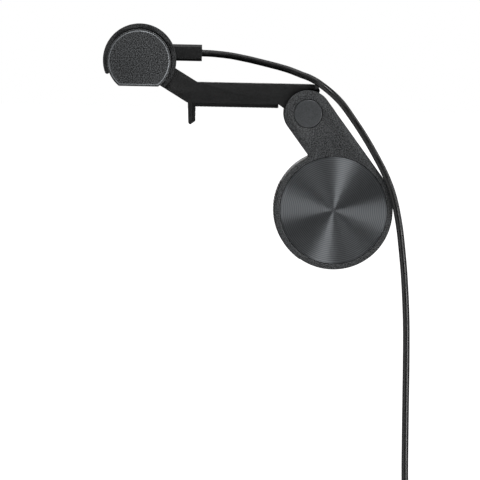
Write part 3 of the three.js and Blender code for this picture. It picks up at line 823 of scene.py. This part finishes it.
def icons():
    """Generic touch marks: on and off, brighter, dimmer, and light colour."""
    power = -2 * ICON_PITCH
    lines = [arc((power, 0), ICON_RADIUS, -235, 55, 28), [(power, 0.4), (power, 1.7)]]
    for x, size, ray in ((-ICON_PITCH, 0.5, 0.36), (0, 0.75, 0.495)):
        lines.append(arc((x, 0), size, 0, 360, 28))
        for k in range(8):
            lines.append([polar((x, 0), r, 45 * k) for r in (size + 0.4, size + 0.4 + ray)])
    lines.append(arc((ICON_PITCH, 0), ICON_RADIUS, 0, 360, 28))
    for across in (0, 0.45, 0.9):
        half = math.sqrt(ICON_RADIUS**2 - across**2)
        lines.append([(ICON_PITCH + across, -half), (ICON_PITCH + across, half)])
    vertices, faces = [], []
    for line in lines:
        v, f = stroke(line, ICON_LINE)
        faces += [tuple(len(vertices) + i for i in face) for face in f]
        vertices += v
    piece = new_object("panel_marks", vertices, faces)
    outward(piece)
    piece.data.materials.append(INK)
    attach(piece, "bar")
    return piece


lamp_tube()
for side in SIDES:
    end_cap(side)
diffuser()
touch_panel()
icons()

# ---- The cradle and the bridge ----
RING_OUTER = box_mm("cradle")[1].z - BAR_AXIS[1]
RING_INNER = 11.55
RING_FRONT = 200.6  # degrees round the tube to the tip of the ring
CRADLE_HALF = box_mm("cradle")[1].x
# The cradle's two openings: their edges in degrees, half their length, and their corners' radius.
WINDOW = (78, 164, 20.6, 2.2)
PLUG_SLOT = (-12, 50, 6.6, 1.6)
BRIDGE_HALF = box_mm("bridge_body")[1].x
BRIDGE_TOP = 8.83
BRIDGE_UNDER = 1.3
BRIDGE_WALL = 1.8
KNEE_TOP = -14.05  # where the neck turns up from the bridge's top
KNEE_UNDER = -17.5
NECK_SLOPE = 31.0
UNDER_END = 15.5
KNUCKLE = 8.5  # radius of the arm's round end at the hinge
LIP = KNUCKLE + 0.6  # inner radius of the lip over it
BARREL = 7.3
BARREL_HALF = 22.2
RIB_PITCH = 1.3
RIB_LAND = 0.75  # the top's share of a rib's pitch
RIB_SLOPE = 0.06


def meets_circle(point, slope, centre, radius):
    """The angle round centre where the line that leaves point with that slope first meets a circle."""
    way = Vector(polar((0, 0), 1, slope))
    rel = Vector(point) - Vector(centre)
    b = rel.dot(way)
    hit = rel + way * (-b - math.sqrt(b * b - rel.length_squared + radius**2))
    return math.degrees(math.atan2(hit.y, hit.x))


def meets_cradle(y, z, radius):
    """The angle round the lamp's axis where the neck's line through (y, z) meets the cradle."""
    return meets_circle((y, z), 180 - NECK_SLOPE, BAR_AXIS, radius)


def cradle():
    """An open ring round the tube, with a window for the touch panel and a slot for the plug."""
    middle_radius = (RING_OUTER + RING_INNER) / 2
    tip_radius = (RING_OUTER - RING_INNER) / 2
    tip = polar(BAR_AXIS, middle_radius, RING_FRONT)
    front_end = arc(tip, tip_radius, RING_FRONT, RING_FRONT + 180, 10)
    knee = (KNEE_UNDER, BRIDGE_UNDER)
    outline = arc(BAR_AXIS, RING_OUTER, meets_cradle(*knee, RING_OUTER), RING_FRONT, 150) + front_end[1:-1]
    outline += arc(BAR_AXIS, RING_INNER, RING_FRONT, meets_cradle(*knee, RING_INNER), 130)
    piece = prism("cradle_ring", outline, -CRADLE_HALF, CRADLE_HALF)
    inner, outer = RING_INNER - 1, RING_OUTER + 1
    cut(piece, *[curved_slab("room", BAR_AXIS, inner, outer, *sizes) for sizes in (WINDOW, PLUG_SLOT)])
    bevel(piece, 0.3, 3, 50)
    smooth(piece)
    return dress(piece, RING_METAL, "clip", "grained_metal", "cradle")


def cradle_liner(side):
    """A felt strip that fills the room between the tube and the cradle near one end."""
    low, high = box_mm("cradle_liner_" + side)
    outline = sector(BAR_AXIS, TUBE_RADIUS + 0.03, RING_INNER + 0.1, -44, 199, 120)
    piece = prism("felt_" + side, outline, low.x, high.x)
    smooth(piece)
    return dress(piece, LINER, "clip", "liner", "cradle_liner_" + side)


def bridge_outline():
    """The neck off the cradle, the flat top, the lip over the hinge, and the underside."""
    face = RING_OUTER + 0.04
    top, under = meets_cradle(KNEE_TOP, BRIDGE_TOP, face), meets_cradle(KNEE_UNDER, BRIDGE_UNDER, face)
    corners = plain(arc(BAR_AXIS, face, under, top, 30))
    corners += [(KNEE_TOP, BRIDGE_TOP, 1.2), (27.4, BRIDGE_TOP, 4.0)]
    corners += [(29.6, BRIDGE_TOP - 0.25, 0.35), (*polar(PIVOT, LIP, 63), 0.2)]
    corners += plain(arc(PIVOT, LIP, 66, 92, 12))
    corners += [(*polar(PIVOT, BARREL - 1, 100), 0), (*PIVOT, 0), (*polar(PIVOT, BARREL - 0.4, 190), 0)]
    corners += [(17.8, -0.3, 0.6), (UNDER_END, BRIDGE_UNDER, 0.6), (KNEE_UNDER, BRIDGE_UNDER, 1.6)]
    return rounded(corners, 8)


def lip_chamfer(sign):
    """What the corner of the lip over the hinge is cut back by."""
    side, end, size = BRIDGE_HALF + 0.1, 29.9, 1.7
    corners = [(side, end), (side - size, end), (side, end - size)]
    return prism_z("corner", [(sign * x, y) for x, y in corners], KNUCKLE - 4, BRIDGE_TOP + 1)


def bridge_body():
    """A hollow shell with room for the arm's knuckles at both ends of its hinge barrel."""
    piece = prism("bridge_shell", bridge_outline(), -BRIDGE_HALF, BRIDGE_HALF)
    signs = SIDES.values()
    out = BRIDGE_HALF + 1
    rooms = [cylinder_x("room", PIVOT, KNUCKLE + 0.2, sign * BARREL_HALF, sign * out) for sign in signs]
    cavity = prism("cavity", rectangle((-17.64, -2), (15.1, BRIDGE_TOP - BRIDGE_WALL)), -22, 22)
    cut(piece, cavity, *rooms)
    bevel(piece, 0.3, 3, 40)
    lip_fill = prism("fill", sector(PIVOT, BARREL - 1, LIP + 0.3, 63, 96, 12), -21, 21)
    join(piece, cylinder_x("barrel", PIVOT, BARREL, -BARREL_HALF, BARREL_HALF, 128), lip_fill)
    cut(piece, cylinder_x("bore", PIVOT, 3.5, -30, 30, 48), *[lip_chamfer(sign) for sign in signs])
    smooth(piece)
    return dress(piece, DARK, "clip", "dark_plastic", "bridge_body")


def bridge_base():
    """The plate under the bridge, whose front edge turns down into the hook."""
    low, high = box_mm("bridge_base")
    corners = [
        (low.y, high.z - 0.3, 0.2),
        (low.y + 0.36, low.z + 0.3, 0.5),
        (low.y + 0.75, low.z, 0.5),
        (-15.95, low.z, 0.3),
        (-15.7, low.z + 0.6, 0.3),
        (-15.7, BRIDGE_UNDER, 0),
        (UNDER_END - 0.6, BRIDGE_UNDER, 0),
        (UNDER_END - 0.6, high.z, 0),
        (low.y + 0.4, high.z, 0.2),
    ]
    piece = prism("hook_plate", rounded(corners, 4), -high.x, high.x)
    bevel(piece, 0.25, 2, 50)
    smooth(piece)
    return dress(piece, DARK, "clip", "dark_plastic", "bridge_base")


def ribs(start, end, low, high):
    """One side of a pad, from start to end, that stands at high on the ribs and at low between them."""
    count = int(abs(end - start) // RIB_PITCH)
    step = (end - start) / count
    points = []
    for i in range(count):
        u = start + i * step
        points += [(u, high), (u + step * RIB_LAND, high)]
        points += [(u + step * (RIB_LAND + RIB_SLOPE), low), (u + step * (1 - RIB_SLOPE), low)]
    return points + [(end, high)]


def rest_pad():
    """The pad that stands on a monitor's top edge."""
    low, high = box_mm("rest_pad")
    bottom = ribs(low.y, high.y, low.z + 0.08, low.z)
    outline = bottom + [(high.y, high.z), (low.y, high.z)]
    piece = prism("rest_pad_rubber", outline, low.x, high.x)
    smooth(piece)
    return dress(piece, RUBBER, "clip", "rubber", "rest_pad")


def hook_pad():
    """The pad behind the hook, on a monitor's front."""
    low, high = box_mm("hook_pad")
    top = BRIDGE_UNDER - 0.05
    face = [(y, z) for z, y in ribs(low.z + 0.9, high.z, high.y - 0.08, high.y)]
    outline = [(high.y, top), (low.y, top), (low.y, low.z)] + face
    piece = prism("hook_pad_rubber", outline, low.x, high.x)
    smooth(piece)
    return dress(piece, RUBBER, "clip", "rubber", "hook_pad")


cradle()
for side in SIDES:
    cradle_liner(side)
bridge_body()
bridge_base()
rest_pad()
hook_pad()

# ---- The weighted arm ----
DRUM_RADIUS = box_mm("side_plate_right")[1].y - DRUM[0]
DISC_RADIUS = box_mm("spun_disc_right")[1].y - DRUM[0]
REACH = math.dist(PIVOT, DRUM)
LEAN = math.degrees(math.atan2(DRUM[0] - PIVOT[0], PIVOT[1] - DRUM[1]))
EDGE = -90 + LEAN + math.degrees(math.asin((DRUM_RADIUS - KNUCKLE) / REACH))  # slope of the arm's edges
PLATE_IN = box_mm("side_plate_right")[0].x
PLATE_OUT = box_mm("side_plate_right")[1].x
CAP_RADIUS = 5.04
GROOVE_PITCH = 0.8
GROOVE_DEPTH = 0.035
PAD_ANGLES = (152.0, 237.0)
PAD_RIBS = 26


def arm_outline(inset):
    """Round at the hinge and at the drum, with two parallel edges between them."""
    rear, knuckle, drum = EDGE + 90, KNUCKLE - inset, DRUM_RADIUS - inset
    corner = meets_circle(polar(PIVOT, knuckle, rear - 180), EDGE, DRUM, drum)
    return arc(PIVOT, knuckle, rear, rear + 180, 64) + arc(DRUM, drum, corner, rear + 360, 140)


def side_plate(side):
    """A flat plate from knuckle to drum, with seats for the disc and the hinge's cap."""
    sign = SIDES[side]
    piece = prism("arm_plate_" + side, arm_outline(0), sign * PLATE_IN, sign * PLATE_OUT)
    bevel(piece, 0.35, 3, 40)
    out = sign * (PLATE_OUT + 1)
    disc_seat = cylinder_x("seat", DRUM, DISC_RADIUS + 0.16, sign * (PLATE_OUT - 1.1), out, 192)
    cap_seat = cylinder_x("seat", PIVOT, CAP_RADIUS + 0.2, sign * (PLATE_OUT - 1.2), out)
    cut(piece, disc_seat, cap_seat)
    bevel(piece, 0.08, 2, 70)
    smooth(piece)
    return dress(piece, GRAINED, "arm", "grained_metal", "side_plate_" + side)


def spun_disc(side):
    """A disc turned on a lathe: fine grooves all the way in, and a small chamfer round the rim."""
    sign = SIDES[side]
    back, face = PLATE_OUT - 0.6, PLATE_OUT - 0.15
    profile = [(back, 0), (back, DISC_RADIUS), (face - 0.12, DISC_RADIUS), (face, DISC_RADIUS - 0.12)]
    radius = DISC_RADIUS - 0.5
    while radius > GROOVE_PITCH:
        profile += [(face, radius), (face - GROOVE_DEPTH, radius - GROOVE_PITCH / 2)]
        radius -= GROOVE_PITCH
    profile.append((face, 0))
    piece = lathe_x("disc_" + side, DRUM, [(sign * x, r) for x, r in profile], 192)
    smooth(piece, 40)
    return dress(piece, SPUN, "arm", "spun_metal", "spun_disc_" + side)


def pivot_cap(side):
    """A low dome with a rolled rim."""
    sign = SIDES[side]
    face, roll, fall = PLATE_OUT + 0.2, 0.28, 0.15
    turns = np.linspace(0, 1.5, 6)
    rim = [(face - roll - fall + roll * math.sin(a), CAP_RADIUS - roll + roll * math.cos(a)) for a in turns]
    dome = [(face - fall * (r / 4.7) ** 2, r) for r in (4.4, 3.8, 3.0, 2.0, 1.0, 0)]
    profile = [(PLATE_OUT - 1.1, 0), (PLATE_OUT - 1.1, CAP_RADIUS)] + rim + dome
    piece = lathe_x("hinge_cap_" + side, PIVOT, [(sign * x, r) for x, r in profile], 96)
    smooth(piece, 40)
    return dress(piece, CAP_METAL, "arm", "cap_metal", "pivot_cap_" + side)


def drum_shell():
    """A hollow drum and the hollow neck that joins it to the hinge."""
    half = box_mm("drum_shell")[1].x
    piece = prism("drum_case", circle(DRUM, DRUM_RADIUS - 0.1, 180), -half, half)
    neck = prism("neck", arm_outline(1.3), -half, half)
    cut(neck, cylinder_x("hinge", PIVOT, KNUCKLE + 0.3, -30, 30))
    join(piece, neck)
    start, end = PAD_ANGLES[0] - 0.2, PAD_ANGLES[1] + 0.2
    pad_seat = prism("seat", sector(DRUM, DRUM_RADIUS - 0.8, DRUM_RADIUS + 1, start, end, 60), -20.1, 20.1)
    cut(piece, cylinder_x("room", DRUM, DRUM_RADIUS - 1.7, -30, 30, 144), pad_seat)
    smooth(piece)
    return dress(piece, GRAINED, "arm", "grained_metal", "drum_shell")


def drum_pad():
    """A ribbed pad bent round the front of the drum."""
    low, high = box_mm("drum_pad")
    outer = DRUM_RADIUS + 0.2
    inner = outer - 0.9
    start, end = PAD_ANGLES
    step = (end - start) / PAD_RIBS
    outline = []
    for i in range(PAD_RIBS):
        a = start + i * step
        outline += arc(DRUM, outer, a, a + step * 0.74, 3)
        outline += arc(DRUM, outer - 0.16, a + step * 0.82, a + step * 0.92, 1)
    outline += [polar(DRUM, outer, end)] + arc(DRUM, inner, end, start, 60)
    piece = prism("drum_pad_rubber", outline, low.x, high.x)
    smooth(piece)
    return dress(piece, RUBBER, "arm", "rubber", "drum_pad")


for side in SIDES:
    side_plate(side)
    spun_disc(side)
    pivot_cap(side)
drum_shell()
drum_pad()

# ---- The plugs and the coil's tie ----
PLUG_CHAMFER = 0.8
BAND_WALL = 0.75


def plug_body():
    """A flat eight-sided grip with a short collar where the cord leaves it."""
    low, high = box_mm("usb_c_plug")
    z, half_x, half_z = (low.z + high.z) / 2, high.x, (high.z - low.z) / 2
    flat_x, flat_z = half_x - PLUG_CHAMFER, half_z - PLUG_CHAMFER
    quarter = [(flat_x, half_z), (half_x, flat_z), (half_x, -flat_z), (flat_x, -half_z)]
    ring = quarter + [(-x, h) for x, h in reversed(quarter)]
    piece = prism_y("plug_body", rounded([(x, z + h, 0.25) for x, h in ring], 4), low.y, high.y)
    bevel(piece, 0.1, 2, 60)
    join(piece, prism_y("collar", circle((0, z), 1.3, 32), high.y - 0.5, high.y + 0.29))
    smooth(piece)
    return dress(piece, PLUG_PLASTIC, "bar", "plug_plastic", "usb_c_plug")


def far_plug():
    """The far plug's grip, with a short collar round the cord."""
    low, high = box_mm("usb_a_plug")
    piece = prism_z("far_plug_body", round_rectangle(low.xy, high.xy, 1.8), low.z, high.z)
    bevel(piece, 0.5, 3, 50)
    join(piece, prism_z("collar", circle((low + high).xy / 2, 2.1, 40), high.z - 1, high.z + 0.3))
    smooth(piece)
    return dress(piece, PLUG_PLASTIC, "clip", "plug_plastic", "usb_a_plug")


def far_plug_shell():
    """A thin steel sleeve, open at its end, with two square windows through its flat sides."""
    low, high = box_mm("usb_a_plug_shell")
    piece = prism_z("far_plug_shell", rectangle(low, high), low.z, high.z)
    wall = Vector((0.35, 0.35, 0))
    cut(piece, prism_z("room", rectangle(low + wall, high - wall), low.z - 1, high.z - 1.5))
    size = 2.2
    windows = []
    for offset in (-2.8, 2.8):
        start = (low.y + high.y) / 2 + offset - size / 2
        square = rectangle((low.x - 1, start), (high.x + 1, start + size))
        windows.append(prism_z("hole", square, low.z + 4.6, low.z + 4.6 + size))
    cut(piece, *windows)
    bevel(piece, 0.08, 2, 60)
    smooth(piece)
    return dress(piece, STEEL, "clip", "steel", "usb_a_plug_shell")


def far_plug_tongue():
    """The white tongue inside the sleeve."""
    low, high = box_mm("usb_a_plug_shell")
    outline = rectangle((low.x + 0.4, low.y + 0.5), (low.x + 2.1, high.y - 0.5))
    piece = prism_z("far_plug_tongue", outline, low.z + 0.8, high.z - 1.6)
    bevel(piece, 0.15, 2, 60)
    piece.data.materials.append(WHITE)
    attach(piece, "clip")
    return piece


def coil_tie():
    """A woven band round the bundle."""
    low, high = box_mm("cord_tie")
    centre = (low + high).xz / 2
    half = Vector((1, 1)) * (high.x - low.x) / 2
    piece = prism_y("coil_band", round_rectangle(centre - half, centre + half, 1.6), low.y, high.y)
    half -= Vector((BAND_WALL, BAND_WALL))
    cut(piece, prism_y("room", round_rectangle(centre - half, centre + half, 1.1), low.y - 1, high.y + 1))
    bevel(piece, 0.15, 2, 50)
    smooth(piece)
    return dress(piece, TIE, "clip", "tie", "cord_tie")


plug = plug_body()
far_body, far_shell, far_tongue, band = far_plug(), far_plug_shell(), far_plug_tongue(), coil_tie()

# ---- Finishes of the frame's nodes that show as they are ----
SLOT_FINISH = {
    "steel": STEEL,
    "iron": IRON,
    "brass": BRASS,
    "white_plastic": WHITE,
    "board": BOARD,
    "phosphor": PHOSPHOR,
    "milky_plastic": GLOSS,  # the light sensor's lens is smoked
}
for row in frame["record"]["subparts"]:
    if row["material_slot"] in SLOT_FINISH:
        node = frame["nodes"][row["node"]]
        node.data.materials.clear()
        node.data.materials.append(SLOT_FINISH[row["material_slot"]])


# ---- Studio ----
FLOOR_LEVEL = -0.42  # metres
FLOOR_SIZE = 160.0
FILL = 0.03  # the world's own light on the object
LIGHT_AIM = Vector((0.026, DRUM[0] * MM, DRUM[1] * MM))


def studio_light(name, clock, tilt, distance, size, power):
    """A soft box that shines on the drum from a clock angle round X, tilted off X by another angle."""
    c, t = math.radians(clock), math.radians(tilt)
    way = Vector((math.cos(t), math.sin(t) * math.cos(c), math.sin(t) * math.sin(c)))
    data = bpy.data.lights.new(name, "AREA")
    data.shape = "RECTANGLE"
    data.size, data.size_y = size
    data.energy = power
    light = bpy.data.objects.new(name, data)
    light.location = LIGHT_AIM + way * distance
    light.rotation_euler = way.to_track_quat("Z", "Y").to_euler()
    light.visible_camera = False
    bpy.context.scene.collection.objects.link(light)


def floor():
    """A pale floor that turns to plain white some metres away on the far side."""
    n = Nodes("floor")
    n.into("Base Color", n.mix_colour(n.noise(3.0, 2.0), (0.8, 0.8, 0.8), (0.84, 0.84, 0.84)))
    reach = n.add("ShaderNodeSeparateXYZ")
    n.link(n.place, reach.inputs[0])
    n.into("Emission Strength", n.ramp(reach.outputs["X"], 1.2, 0.12, -7.5, -3.0))
    n.set(Roughness=0.9, Emission_Color=(1, 1, 1, 1))
    bpy.ops.mesh.primitive_plane_add(size=FLOOR_SIZE, location=(0, 0, FLOOR_LEVEL))
    plane = bpy.context.object
    plane.name = "floor"
    plane.data.materials.append(n.material)


def world():
    """Plain white behind, and a dimmer fill that lights the object."""
    made = bpy.data.worlds.new("studio")
    made.use_nodes = True
    tree = made.node_tree
    fill = tree.nodes["Background"]
    fill.inputs["Color"].default_value = (1, 1, 1, 1)
    fill.inputs["Strength"].default_value = FILL
    seen = tree.nodes.new("ShaderNodeBackground")
    seen.inputs["Color"].default_value = (1, 1, 1, 1)
    path = tree.nodes.new("ShaderNodeLightPath")
    mix = tree.nodes.new("ShaderNodeMixShader")
    tree.links.new(path.outputs["Is Camera Ray"], mix.inputs["Fac"])
    tree.links.new(fill.outputs[0], mix.inputs[1])
    tree.links.new(seen.outputs[0], mix.inputs[2])
    tree.links.new(mix.outputs[0], tree.nodes["World Output"].inputs["Surface"])
    bpy.context.scene.world = made


studio_light("top", 78, 45, 1.5, (0.26, 0.9), 8)
studio_light("upper_left", 122, 45, 1.5, (0.5, 0.6), 1.6)
studio_light("left", 171, 45, 1.5, (0.55, 0.8), 3)
studio_light("right", -10, 45, 1.5, (0.5, 0.8), 10.5)
studio_light("overhead", 105, 88, 1.8, (1.4, 1.4), 10)
studio_light("rear", 26, 88, 1.8, (0.9, 1.2), 10)
studio_light("front", 165, 92, 1.8, (1.0, 1.6), 3)
studio_light("far_side", 80, 155, 2.0, (1.4, 1.4), 15)
floor()
world()
bpy.context.scene.view_settings.view_transform = "Standard"
